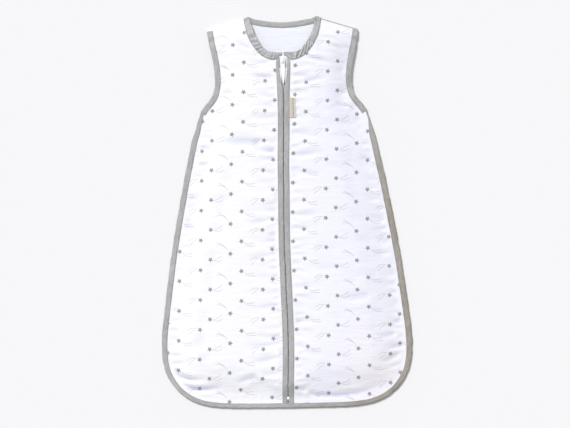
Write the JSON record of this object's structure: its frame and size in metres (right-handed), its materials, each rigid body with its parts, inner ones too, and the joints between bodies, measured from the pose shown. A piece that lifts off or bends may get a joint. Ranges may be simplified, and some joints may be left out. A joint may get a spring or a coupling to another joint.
{
  "type": "baby sleeping bag",
  "caption": "Sleeveless baby sleeping bag laid flat, bound edges, full-length front zip with slider and puller, two front flaps that fold open.",
  "frame": {"origin": "middle of the hem, halfway through the bag's depth", "axes": "+Z from hem to neck, front with the zip faces -Y, flat back faces +Y, +X to the viewer's right when looking at the front"},
  "size_m": [0.448, 0.0212, 0.7],
  "materials": {
    "printed_cotton": "soft matt",
    "lining_cotton": "soft matt",
    "grey_binding": "matt jersey",
    "zip_tape_cloth": "woven",
    "zip_plastic": "gloss",
    "label_cloth": "woven"
  },
  "bodies": {
    "bag": {"front_shell_left": "printed_cotton", "front_lining_left": "lining_cotton", "armhole_binding_left": "grey_binding", "zip_binding_foot_left": "grey_binding", "shoulder_seam_left": "grey_binding", "front_shell_right": "printed_cotton", "front_lining_right": "lining_cotton", "armhole_binding_right": "grey_binding", "zip_binding_foot_right": "grey_binding", "shoulder_seam_right": "grey_binding", "back_shell": "printed_cotton", "back_lining": "lining_cotton", "perimeter_binding": "grey_binding", "neck_binding_back": "grey_binding", "zip_bottom_stop": "zip_plastic"},
    "left_flap": {"front_flap_shell_left": "printed_cotton", "front_flap_lining_left": "lining_cotton", "neck_binding_left": "grey_binding", "zip_binding_left": "grey_binding", "zip_tape_left": "zip_tape_cloth", "zip_teeth_left": "zip_plastic", "zip_top_stop_left": "zip_plastic"},
    "right_flap": {"front_flap_shell_right": "printed_cotton", "front_flap_lining_right": "lining_cotton", "neck_binding_right": "grey_binding", "zip_binding_right": "grey_binding", "zip_tape_right": "zip_tape_cloth", "zip_teeth_right": "zip_plastic", "zip_top_stop_right": "zip_plastic", "label_tab": "label_cloth"},
    "slider": {"zip_slider": "zip_plastic"},
    "puller": {"zip_puller": "zip_plastic"}
  },
  "joints": [
    {"name": "zip_slide", "type": "slide", "parent": "bag", "child": "slider", "axis": [0, 0, -1], "range_m": [0, 0.576]},
    {"name": "left_flap_fold", "type": "hinge", "parent": "bag", "child": "left_flap", "pos_m": [-0.022, -0.00675, 0.034], "axis": [0.0731, 0, -0.9973], "range_deg": [0, 160]},
    {"name": "right_flap_fold", "type": "hinge", "parent": "bag", "child": "right_flap", "pos_m": [0.022, -0.00675, 0.034], "axis": [0.0731, 0, 0.9973], "range_deg": [0, 160]},
    {"name": "puller_swing", "type": "hinge", "parent": "slider", "child": "puller", "pos_m": [0, -0.00835, 0.6202], "axis": [-1, 0, 0], "range_deg": [0, 172]}
  ],
  "couplings": [
    {"joint": "left_flap_fold", "follows": "zip_slide", "rad_per_m": 4.848},
    {"joint": "right_flap_fold", "follows": "zip_slide", "rad_per_m": 4.848}
  ]
}
